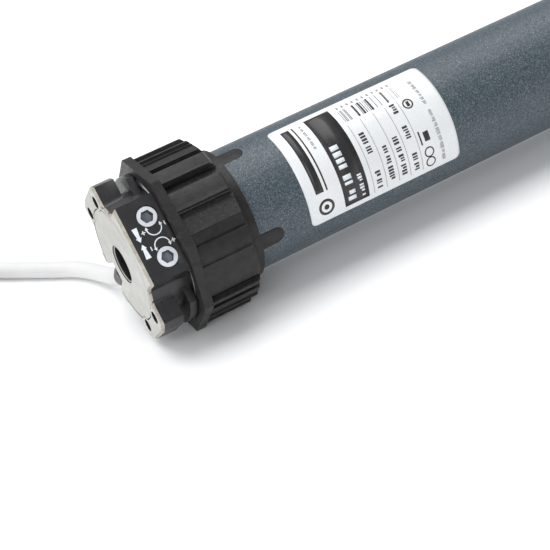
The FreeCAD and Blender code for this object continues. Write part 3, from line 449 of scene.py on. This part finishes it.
def make_cable():
    """The supply cable, and the last two points of its sheath."""
    turns = coil_points()
    leave = Vector((-math.sin(TAIL_ANGLE), math.cos(TAIL_ANGLE), 0))
    side = Vector((-leave.y, leave.x, 0))
    start = turns[-1]
    bend = start + leave * TAIL_RUN
    bend.z = (start.z + RUN_HEIGHT) / 2
    end = start + leave * 2 * TAIL_RUN + side * TAIL_DRIFT
    end.z = RUN_HEIGHT
    cable = placed("supply_cable",
                   nurbs_tube("supply_cable", ROUTE + turns + [bend, end], CABLE_RADIUS),
                   "root", "white_sheath")
    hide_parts("cable_run", "cable_coil", "cable_tail")
    return cable, bend, end


CORE_RADIUS = 0.9 * MM
WIRE_RADIUS = 0.62 * CORE_RADIUS
CORE_PLACE = 1.35 * MM
CORE_LIFT = 1.05 * MM
CORE_LENGTH = 28 * MM
BARED = 6 * MM
# each core's name, its side of the sheath and its layer in it
CORES = (("core_brown", -1, 1), ("core_blue", 1, 1), ("core_black", -1, -1), ("core_earth", 1, -1))
# how many times CORE_PLACE a layer's tips are spread to each side
CORE_FANS = {1: 4.4, -1: 1.2}


def make_cores(bend, end):
    """Four insulated cores that fan out of the sheath's end, each with a bared tip."""
    along = (end - bend).normalized()
    across = Vector((-along.y, along.x, 0))
    pieces = []
    for name, side, layer in CORES:
        first = end + across * side * CORE_PLACE + Vector((0, 0, layer * CORE_LIFT))
        last = end + along * CORE_LENGTH + across * side * CORE_FANS[layer] * CORE_PLACE
        last.z = FLOOR + CORE_RADIUS
        way = (last - first).normalized()
        bared = last - way * BARED
        insulated = [first.lerp(bared, share) for share in (0, 0.33, 0.67, 1)]
        sleeve = placed(name + "_sleeve", nurbs_tube(name + "_sleeve", insulated, CORE_RADIUS),
                        "root", name)
        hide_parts(name)
        bare = [bared.lerp(last, share) for share in (-0.05, 0.3, 0.7, 1)]
        tip = placed(name + "_tip", nurbs_tube(name + "_tip", bare, WIRE_RADIUS),
                     "root", name, "bare_copper")
        pieces += [sleeve, tip]
    return pieces


cable, cable_bend, cable_end = make_cable()
cores = make_cores(cable_bend, cable_end)


# ---------------------------------------------------------------- refined CAD shells
WELD = 0.002 * MM
FLAT = math.radians(0.8)
CREASE = 32
# cosines between a face's normal and a direction: the face looks that way, or stands along it
LOOKS, STANDS = 0.7, 0.3


def clean_copy(node):
    """The node's mesh with its seams welded and its flat faces made whole."""
    builder = bmesh.new()
    builder.from_mesh(NODES[node].data)
    bmesh.ops.remove_doubles(builder, verts=builder.verts, dist=WELD)
    bmesh.ops.dissolve_limit(builder, angle_limit=FLAT, verts=builder.verts, edges=builder.edges)
    for face in builder.faces:
        face.material_index = 0
    builder.normal_update()
    return builder


def refined(node, width, finishes, builder=None):
    """A shell that stands for a CAD node, with its edges rounded by that many millimetres."""
    mesh = mesh_of(node + "_shell", builder or clean_copy(node))
    piece = placed(node + "_shell", mesh, NODES[node]["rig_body"], slot_of(node), *finishes)
    smooth_by_angle(mesh, CREASE)
    rounded = piece.modifiers.new("rounded", "BEVEL")
    rounded.width = width * MM
    rounded.segments = 2
    rounded.limit_method = "ANGLE"
    rounded.angle_limit = math.radians(CREASE)
    rounded.use_clamp_overlap = True
    rounded.harden_normals = True
    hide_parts(node)


HEAD_ROLL = math.radians(52.75)
# how far the fixing holes are across and up from the axis, in the head's rolled frame
FIXING = (22 * MM, 7.5 * MM)
FIXING_ROOM = 2.6 * MM
SEAT_RADIUS = 20.75 * MM
RIM_SLACK = 0.1 * MM
FACE_SLACK = 0.01 * MM
CHAMFER = 0.9 * MM
SEAT_CHAMFER = 0.3 * MM
SHOULDER_FILLET = 1.6 * MM
SHOULDER_SHORTEST = 5 * MM
SHOULDER_LOWEST = 5 * MM
HOLLOW_ANGLE = -0.3


def head_point(x, across, up):
    """A point given in the head's own rolled frame."""
    return Vector((x, across * math.cos(HEAD_ROLL) - up * math.sin(HEAD_ROLL),
                   across * math.sin(HEAD_ROLL) + up * math.cos(HEAD_ROLL)))


def in_head(point):
    """How far across and up a point is in the head's rolled frame."""
    return (point.y * math.cos(HEAD_ROLL) + point.z * math.sin(HEAD_ROLL),
            point.z * math.cos(HEAD_ROLL) - point.y * math.sin(HEAD_ROLL))


def middle_of(edge):
    """The point halfway along an edge."""
    return (edge.verts[0].co + edge.verts[1].co) / 2


def looks_out(face):
    """Whether a face looks straight out of the head, along the axis."""
    return face.normal.x < -0.99


def bounds_face(edge):
    """Whether an edge is a border of the head's flat face."""
    if middle_of(edge).x > FACE_SLACK or len(edge.link_faces) != 2:
        return False
    return sum(looks_out(face) for face in edge.link_faces) == 1


def is_seat_rim(edge):
    """Whether an edge of the head's face is the rim that the cover plate sits in."""
    middle = middle_of(edge)
    return bounds_face(edge) and abs(math.hypot(middle.y, middle.z) - SEAT_RADIUS) < RIM_SLACK


def is_head_outline(edge):
    """Whether an edge runs along the outside of the head's face."""
    if not bounds_face(edge):
        return False
    across, up = in_head(middle_of(edge))
    in_hole = any(math.hypot(across - i * FIXING[0], up - j * FIXING[1]) < FIXING_ROOM
                  for i in (-1, 1) for j in (-1, 1))
    return not in_hole and math.hypot(across, up) > SEAT_RADIUS + RIM_SLACK


def is_shoulder_corner(edge):
    """Whether an edge is a hollow corner along X between the panel, the barrel and a lobe."""
    if len(edge.link_faces) != 2 or not edge.is_contiguous:
        return False
    way = edge.verts[1].co - edge.verts[0].co
    along_axis = abs(way.x) > 0.999 * way.length and way.length > SHOULDER_SHORTEST
    high = in_head(edge.verts[0].co)[1] > SHOULDER_LOWEST
    return along_axis and high and edge.calc_face_angle_signed() < HOLLOW_ANGLE


def bevel(builder, wanted, offset, segments=1, profile=0.0, material=0):
    """Bevels the edges that a test picks out."""
    edges = [edge for edge in builder.edges if wanted(edge)]
    bmesh.ops.bevel(builder, geom=edges, offset=offset, segments=segments, profile=profile,
                    affect="EDGES", clamp_overlap=False, material=material)


def make_head():
    """The head's housing: pale face, a darker brownish-grey chamfer round it and black sides.

    The outline is bevelled before the seat's rim, since the other order tears the face.
    """
    builder = clean_copy("head_body")
    bevel(builder, is_shoulder_corner, SHOULDER_FILLET, segments=4, profile=0.5)
    builder.normal_update()
    for face in builder.faces:
        if looks_out(face) and face.calc_center_median().x < FACE_SLACK:
            face.material_index = 1
    bevel(builder, is_head_outline, CHAMFER, material=2)
    bevel(builder, is_seat_rim, SEAT_CHAMFER)
    builder.normal_update()
    refined("head_body", 0.2, ("smooth_black", "grey_plastic", "chamfer_grey"), builder)


BORE_WALL = 7.2 * MM


def make_cover_plate():
    """The round plate in the head's face; the wall of its bore is black."""
    builder = clean_copy("head_cover_plate")
    for face in builder.faces:
        middle = face.calc_center_median()
        if math.hypot(middle.y, middle.z) < BORE_WALL and abs(face.normal.x) < STANDS:
            face.material_index = 1
    refined("head_cover_plate", 0.12, ("grey_plastic", "smooth_black"), builder)


SOCKET_DEPTH = 0.5 * MM
SOCKET_REACH = 1.5 * MM


def make_adjuster(node):
    """A limit adjuster, whose hexagon socket has painted shade: darker walls and a lighter grey-blue
    floor than its white rim.
    """
    builder = clean_copy(node)
    top = max(in_head(vert.co)[1] for vert in builder.verts)
    rim = [vert.co for vert in builder.verts if in_head(vert.co)[1] > top - RIM_SLACK]
    centre = sum(rim, Vector()) / len(rim)
    outward = head_point(0, 0, 1)
    for face in builder.faces:
        offset = face.calc_center_median() - centre
        level = offset.dot(outward)
        sideways = offset - outward * level
        looks = face.normal.dot(outward)
        # the socket's inner walls get the darker painted shade, its floor the lighter painted shade
        if abs(looks) < STANDS and face.normal.dot(sideways) < 0:
            face.material_index = 1
        elif level < -SOCKET_DEPTH and looks > LOOKS and sideways.length < SOCKET_REACH:
            face.material_index = 2
    refined(node, 0.3, ("white_plastic", "socket_wall_painted_shade", "socket_floor_painted_shade"), builder)


# the radii between which the crown's recessed faces lie
GRAINED = (26.5 * MM, 29.15 * MM)


def make_crown():
    """The crown, whose recessed faces between the ribs keep a coarse grain."""
    builder = clean_copy("crown")
    for face in builder.faces:
        middle = face.calc_center_median()
        outward = Vector((0, middle.y, middle.z))
        looks = face.normal.dot(outward.normalized())
        if GRAINED[0] < outward.length < GRAINED[1] and looks > LOOKS:
            face.material_index = 1
    refined("crown", 0.25, ("black_plastic", "grained_black"), builder)


def make_brake_spring():
    """The brake's spring wire, smooth-shaded, with a mesh of its own. In the motor the spring shortens
    as the magnet draws the plate in.
    """
    mesh = mesh_of("brake_spring_wire", clean_copy("brake_spring"))
    piece = placed("brake_spring_wire", mesh, "root", slot_of("brake_spring"))
    smooth_by_angle(mesh, CREASE)
    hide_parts("brake_spring")
    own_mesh(piece)


LATHE_STEPS = 96
LATHE_CREASE = 30
# (x, radius) corners in millimetres of the ring in the bore's mouth and of the wall behind it
BORE_LIP = ((0.3, 6.5), (0.4, 6.42), (0.65, 6.42), (0.65, 6.72), (0.4, 6.72), (0.3, 6.66))
BORE_LINER = ((0.6, 6.45), (2.0, 6.45), (2.0, 6.97), (0.6, 6.97))


def lathe(name, outline, slot, finish):
    """A ring about the motor axis from a closed outline."""
    builder = bmesh.new()
    rings = []
    for step in range(LATHE_STEPS):
        angle = math.tau * step / LATHE_STEPS
        rings.append([builder.verts.new((x * MM, radius * MM * math.sin(angle),
                                         radius * MM * math.cos(angle))) for x, radius in outline])
    for one, other in zip(rings, rings[1:] + rings[:1]):
        for index in range(len(outline)):
            builder.faces.new((one[index - 1], one[index], other[index], other[index - 1]))
    bmesh.ops.recalc_face_normals(builder, faces=builder.faces)
    mesh = mesh_of(name, builder)
    placed(name, mesh, "root", slot, finish)
    smooth_by_angle(mesh, LATHE_CREASE)


# each plain shell's node, the width of its rounded edges in millimetres and its finish
SHELLS = (
    ("head_sleeve", 0.25, "black_plastic"), ("slide_ring", 0.3, "white_plastic"),
    ("motor_tube", 0.12, "powder_coat"), ("gearbox_end_cap", 0.3, "black_plastic"),
    ("end_cap_screws", 0.1, "bearing_steel"), ("output_bush", 0.15, "bronze"),
    ("output_shaft", 0.15, "bearing_steel"), ("drive_wheel", 0.4, "black_plastic"),
    ("retaining_clip", 0.15, "bearing_steel"), ("cable_gland", 0.25, "black_plastic"),
)

make_head()
make_cover_plate()
make_adjuster("upper_limit_adjuster")
make_adjuster("lower_limit_adjuster")
make_crown()
make_brake_spring()
for shell_node, shell_width, shell_finish in SHELLS:
    refined(shell_node, shell_width, (shell_finish,))
lathe("bore_lip", BORE_LIP, "grey_plastic", "grey_plastic")
lathe("bore_liner", BORE_LINER, "black_plastic", "smooth_black")


# ---------------------------------------------------------------- prints on the adjuster panel
PANEL_HEIGHT = 25.3 * MM
PRINT_LIFT = 0.03 * MM
PRINT_THICK = 0.02 * MM
# the rest is in millimetres, along X and across the panel
STROKE = 0.19
TIP_LENGTH = 1.15
TIP_HALF = 0.62
TIP_LEAN = 0.16
ARC_PLACE = (9.7, 3.35)
ARC_RADIUS = 2.65
ARC_SWEEP = math.radians(88)
ARC_STEPS = 28
ARROW = ((2.55, 5.5), (2.95, 2.0), (2.45, 2.0), (3.5, 0.35), (4.55, 2.0), (4.05, 2.0), (4.45, 5.5))
SIGN_HALF = 0.7
# each sign's place along and across, and the side of the panel on which it is a plus
SIGNS = ((5.7, 2.9, 1), (13.7, 3.2, -1))


def panel_face(builder, corners):
    """A flat printed shape from (x, across) corners."""
    height = PANEL_HEIGHT + PRINT_LIFT
    builder.faces.new([builder.verts.new(head_point(x * MM, across * MM, height))
                       for x, across in corners])


def panel_bar(builder, start, end):
    """A straight printed stroke between two (x, across) points."""
    start, end = Vector(start), Vector(end)
    way = (end - start).normalized()
    side = Vector((-way.y, way.x)) * STROKE
    panel_face(builder, [start + side, start - side, end - side, end + side])


def panel_tip(builder, point, way):
    """A printed arrowhead whose base is centred at the point."""
    way = Vector(way).normalized()
    side = Vector((-way.y, way.x)) * TIP_HALF
    panel_face(builder, [point + side, point - side, point + way * TIP_LENGTH])


def panel_arc(builder, side):
    """A curved double arrow that opens towards one adjuster; side is 1 for the upper one."""
    middle = Vector((ARC_PLACE[0], ARC_PLACE[1] * side))
    rims = []
    for step in range(ARC_STEPS + 1):
        angle = (2 * step / ARC_STEPS - 1) * ARC_SWEEP
        way = Vector((math.sin(angle), -side * math.cos(angle)))
        rims.append((middle + way * (ARC_RADIUS - STROKE), middle + way * (ARC_RADIUS + STROKE)))
    for (a, b), (c, d) in zip(rims, rims[1:]):
        panel_face(builder, [a, b, d, c])
    for (inner, outer), turn in ((rims[0], -1), (rims[-1], 1)):
        panel_tip(builder, (inner + outer) / 2, (TIP_LEAN * -turn, side))


def make_panel_prints():
    """Direction arrows and plus and minus signs beside each adjuster."""
    builder = bmesh.new()
    for side in (-1, 1):
        panel_face(builder, [(x, side * across) for x, across in ARROW])
        panel_arc(builder, side)
        for x, place, plus_side in SIGNS:
            across = side * place
            panel_bar(builder, (x, across - SIGN_HALF), (x, across + SIGN_HALF))
            if side == plus_side:
                panel_bar(builder, (x - SIGN_HALF, across), (x + SIGN_HALF, across))
    bmesh.ops.recalc_face_normals(builder, faces=builder.faces)
    outward = head_point(0, 0, 1)
    for face in builder.faces:
        if face.normal.dot(outward) < 0:
            face.normal_flip()
    piece = placed("panel_prints", mesh_of("panel_prints", builder), "root", "white_plastic",
                   "white_ink")
    thick = piece.modifiers.new("ink", "SOLIDIFY")
    thick.thickness = PRINT_THICK


make_panel_prints()


# ---------------------------------------------------------------- rating label
TUBE_RADIUS = 22.5 * MM
DEGREES_PER_MM = math.degrees(MM / TUBE_RADIUS)
LABEL_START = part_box("rating_label")[0].x
LABEL_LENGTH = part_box("rating_label")[1].x - LABEL_START
LABEL_FROM = math.radians(2.5)
LABEL_THICK = 0.12 * MM
INK_LIFT = LABEL_THICK + 0.025 * MM
FAINT_LIFT = LABEL_THICK + 0.02 * MM
OVER_BAND_LIFT = LABEL_THICK + 0.05 * MM
INK_THICK = 0.02 * MM
FAINT_THICK = 0.015 * MM
DEGREE_STEP = 2.5
DISC_STEPS = 40

# from here on, places on the label are in millimetres along the tube and degrees around it
LABEL_SWEEP = 105.5
CORNER = 2.0
CORNER_ROWS = 6
SIDE_ROWS = 48
COLUMNS = 62
BLACK_PATCHES = (((13.8, 23.8), (6, 100.5)), ((4.0, 7.2), (8, 76)), ((8.2, 8.8), (8, 76)),
                 ((49.0, 50.2), (34.4, 39.6)), ((47.6, 48.2), (64, 77)), ((49.4, 51.6), (66, 75)))
# along, around, outer radius and inner radius
BLACK_RINGS = ((6.7, 91, 3.1, 2.1), (6.7, 91, 1.0, 0.0), (49.6, 37, 2.0, 1.45),
               (49.9, 85.5, 2.0, 1.5), (49.9, 95.5, 2.0, 1.5))
TEXT_SIZE = 2.3
TEXT_LINES = (((27.4, 29.5), (43, 68)), ((27.4, 29.5), (80, 98)), ((32.7, 34.8), (62, 98)),
              ((37.8, 39.9), (59, 98)), ((43.0, 45.0), (31, 41)), ((43.0, 45.0), (54, 70)),
              ((43.0, 45.0), (80, 98)))
BAR_CODE = (25.8, 49.4)
BAR_CODE_AROUND = (13, 28)
SEPARATORS = (25.8, 31.1, 36.3, 41.1, 46.3)
SEPARATOR_WIDTH = 0.22
SEPARATOR_AROUND = (31, 100)
FINE_SIZE = 1.1
FINE_LINES = (((54.6, 56.0), (16, 46)), ((54.6, 56.0), (50, 100)), ((10.6, 11.6), (10, 40)))
FAINT_CODE = (26.1, 49.6)
FAINT_CODE_AROUND = (13.4, 27.6)
SQUARES = 11
SQUARE_FIRST = (26.6, 27.3)
SQUARE_PITCH = 2.1
SQUARE_AROUND = (7.5, 10.5)
# along, around and block size
WHITE_LINES = (((15.4, 18.6), (43, 99), 4.6), ((20.6, 22.3), (75, 99), 2.2))


def label_point(along, around, lift):
    """A point over the tube, counted from the label's upper corner."""
    angle = LABEL_FROM + math.radians(around)
    radius = TUBE_RADIUS + lift
    return Vector((LABEL_START + along * MM, -radius * math.sin(angle), radius * math.cos(angle)))


def label_patch(builder, along, around, lift=INK_LIFT):
    """A patch of ink between two places along and two angles around."""
    steps = max(1, math.ceil((around[1] - around[0]) / DEGREE_STEP))
    rows = [[builder.verts.new(label_point(x, around[0] + (around[1] - around[0]) * i / steps, lift))
             for x in along] for i in range(steps + 1)]
    for low, high in zip(rows, rows[1:]):
        builder.faces.new((low[0], low[1], high[1], high[0]))


def label_disc(builder, along, around, radius, inner):
    """A printed ring, or a disc where the inner radius is zero."""
    rims = []
    for size in (inner, radius):
        rims.append([builder.verts.new(label_point(
            along + size * math.cos(math.tau * i / DISC_STEPS),
            around + size * DEGREES_PER_MM * math.sin(math.tau * i / DISC_STEPS), INK_LIFT))
            for i in range(DISC_STEPS)])
    for i in range(DISC_STEPS):
        builder.faces.new((rims[0][i - 1], rims[0][i], rims[1][i], rims[1][i - 1]))
    if not inner:
        bmesh.ops.remove_doubles(builder, verts=rims[0], dist=0.001 * MM)


def label_words(builder, along, around, rng, size, lift=INK_LIFT):
    """A line of plain blocks, in words of two to five, that stands for small print."""
    place = around[0]
    while place < around[1] - size:
        for _ in range(rng.randint(2, 5)):
            width = size * rng.uniform(0.55, 1.0)
            if place + width > around[1]:
                break
            rise = (along[1] - along[0]) * rng.choice((0, 0, 0.25))
            label_patch(builder, (along[0] + rise, along[1]), (place, place + width), lift)
            place += width + 0.4 * size
        place += 0.9 * size


def finished_print(name, builder, finish, thickness):
    """Turns a builder's faces outwards and gives them a thickness."""
    builder.normal_update()
    for face in builder.faces:
        if face.normal.dot(Vector((0, *face.calc_center_median().yz))) < 0:
            face.normal_flip()
    mesh = mesh_of(name, builder)
    piece = placed(name, mesh, "root", "label_foil", finish)
    for polygon in mesh.polygons:
        polygon.use_smooth = True
    thick = piece.modifiers.new("sheet", "SOLIDIFY")
    thick.thickness = thickness
    return piece


def make_label_sheet():
    """The label's foil, with rounded corners, bent round the tube."""
    length = LABEL_LENGTH / MM
    height = LABEL_SWEEP / DEGREES_PER_MM
    upper = [CORNER * (1 - math.cos(math.pi / 2 * i / CORNER_ROWS)) for i in range(CORNER_ROWS + 1)]
    middle = [CORNER + (height - 2 * CORNER) * i / SIDE_ROWS for i in range(1, SIDE_ROWS)]
    lower = [height - level for level in reversed(upper)]
    builder = bmesh.new()
    rows = []
    for level in upper + middle + lower:
        edge = max(CORNER - level, CORNER - (height - level), 0)
        inset = CORNER - math.sqrt(max(CORNER ** 2 - edge ** 2, 0))
        rows.append([builder.verts.new(label_point(
            inset + (length - 2 * inset) * i / COLUMNS, level * DEGREES_PER_MM, LABEL_THICK))
            for i in range(COLUMNS + 1)])
    for low, high in zip(rows, rows[1:]):
        for i in range(COLUMNS):
            builder.faces.new((low[i], low[i + 1], high[i + 1], high[i]))
    return finished_print("label_foil_sheet", builder, "label_foil", LABEL_THICK * 0.9)


def make_black_print(rng):
    """The dark band, bars, rings, blocks of text and a bar code."""
    ink = bmesh.new()
    for along, around in BLACK_PATCHES:
        label_patch(ink, along, around)
    for ring in BLACK_RINGS:
        label_disc(ink, *ring)
    for along, around in TEXT_LINES:
        label_words(ink, along, around, rng, TEXT_SIZE)
    place, end = BAR_CODE
    while place < end:
        width = rng.choice((0.25, 0.25, 0.5, 0.8))
        if rng.random() < 0.45:
            label_patch(ink, (place, place + width), BAR_CODE_AROUND)
        place += width + rng.choice((0.25, 0.4, 0.7))
    finished_print("label_black_print", ink, "label_ink", INK_THICK)


def make_grey_print(rng):
    """Thin lines between the rows, fine print, a faint code and a row of small squares."""
    ink = bmesh.new()
    for along in SEPARATORS:
        label_patch(ink, (along, along + SEPARATOR_WIDTH), SEPARATOR_AROUND)
    for along, around in FINE_LINES:
        label_words(ink, along, around, rng, FINE_SIZE)
    place, end = FAINT_CODE
    while place < end:
        width = rng.choice((0.2, 0.3, 1.2))
        if rng.random() < 0.35:
            label_patch(ink, (place, place + width), FAINT_CODE_AROUND, FAINT_LIFT)
        place += width + 0.5
    for step in range(SQUARES):
        along = [edge + SQUARE_PITCH * step for edge in SQUARE_FIRST]
        label_patch(ink, along, SQUARE_AROUND)
    finished_print("label_grey_print", ink, "label_grey_ink", FAINT_THICK)


def make_white_print(rng):
    """Blocks over the dark band."""
    ink = bmesh.new()
    for along, around, size in WHITE_LINES:
        label_words(ink, along, around, rng, size, OVER_BAND_LIFT)
    finished_print("label_white_print", ink, "white_ink", INK_THICK)


def make_label():
    """A rating label with generic marks in place of any name or text."""
    rng = random.Random(7)
    sheet = make_label_sheet()
    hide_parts("rating_label")
    make_black_print(rng)
    make_grey_print(rng)
    make_white_print(rng)


make_label()


# ---------------------------------------------------------------- stage
FLOOR_GAP = 0.2 * MM


def make_stage():
    """A wide pale floor."""
    builder = bmesh.new()
    bmesh.ops.create_circle(builder, cap_ends=True, radius=4, segments=64)
    floor = bpy.data.objects.new("floor", mesh_of("floor", builder))
    floor.location.z = FLOOR - FLOOR_GAP
    bpy.context.scene.collection.objects.link(floor)
    finish = Finish("floor", Roughness=0.9)
    finish.mottle(finish.noise(400, 2), (0.93, 0.93, 0.93), (0.95, 0.95, 0.95))
    floor.data.materials.append(finish.material)


def area_light(name, place, target, size, power):
    light = bpy.data.objects.new(name, bpy.data.lights.new(name, "AREA"))
    light.data.shape = "RECTANGLE"
    light.data.size, light.data.size_y = size
    light.data.energy = power
    light.location = place
    light.rotation_euler = (Vector(target) - Vector(place)).to_track_quat("-Z", "Y").to_euler()
    bpy.context.scene.collection.objects.link(light)


def make_lights():
    middle = (0.12, 0, 0)
    area_light("overhead_softbox", (0.15, 0.35, 1.5), middle, (2.4, 1.6), 31)
    area_light("front_fill", (-0.9, -1.3, 0.9), middle, (1.0, 1.0), 9)
    area_light("end_fill", (-1.3, 0.3, 0.5), middle, (0.8, 0.8), 6)
    world = bpy.data.worlds.new("world")
    world.use_nodes = True
    backdrop = world.node_tree.nodes["Background"]
    backdrop.inputs["Color"].default_value = (0.94, 0.97, 1.0, 1)
    backdrop.inputs["Strength"].default_value = 0.55
    bpy.context.scene.world = world
    bpy.context.scene.view_settings.view_transform = "Standard"


make_stage()
make_lights()
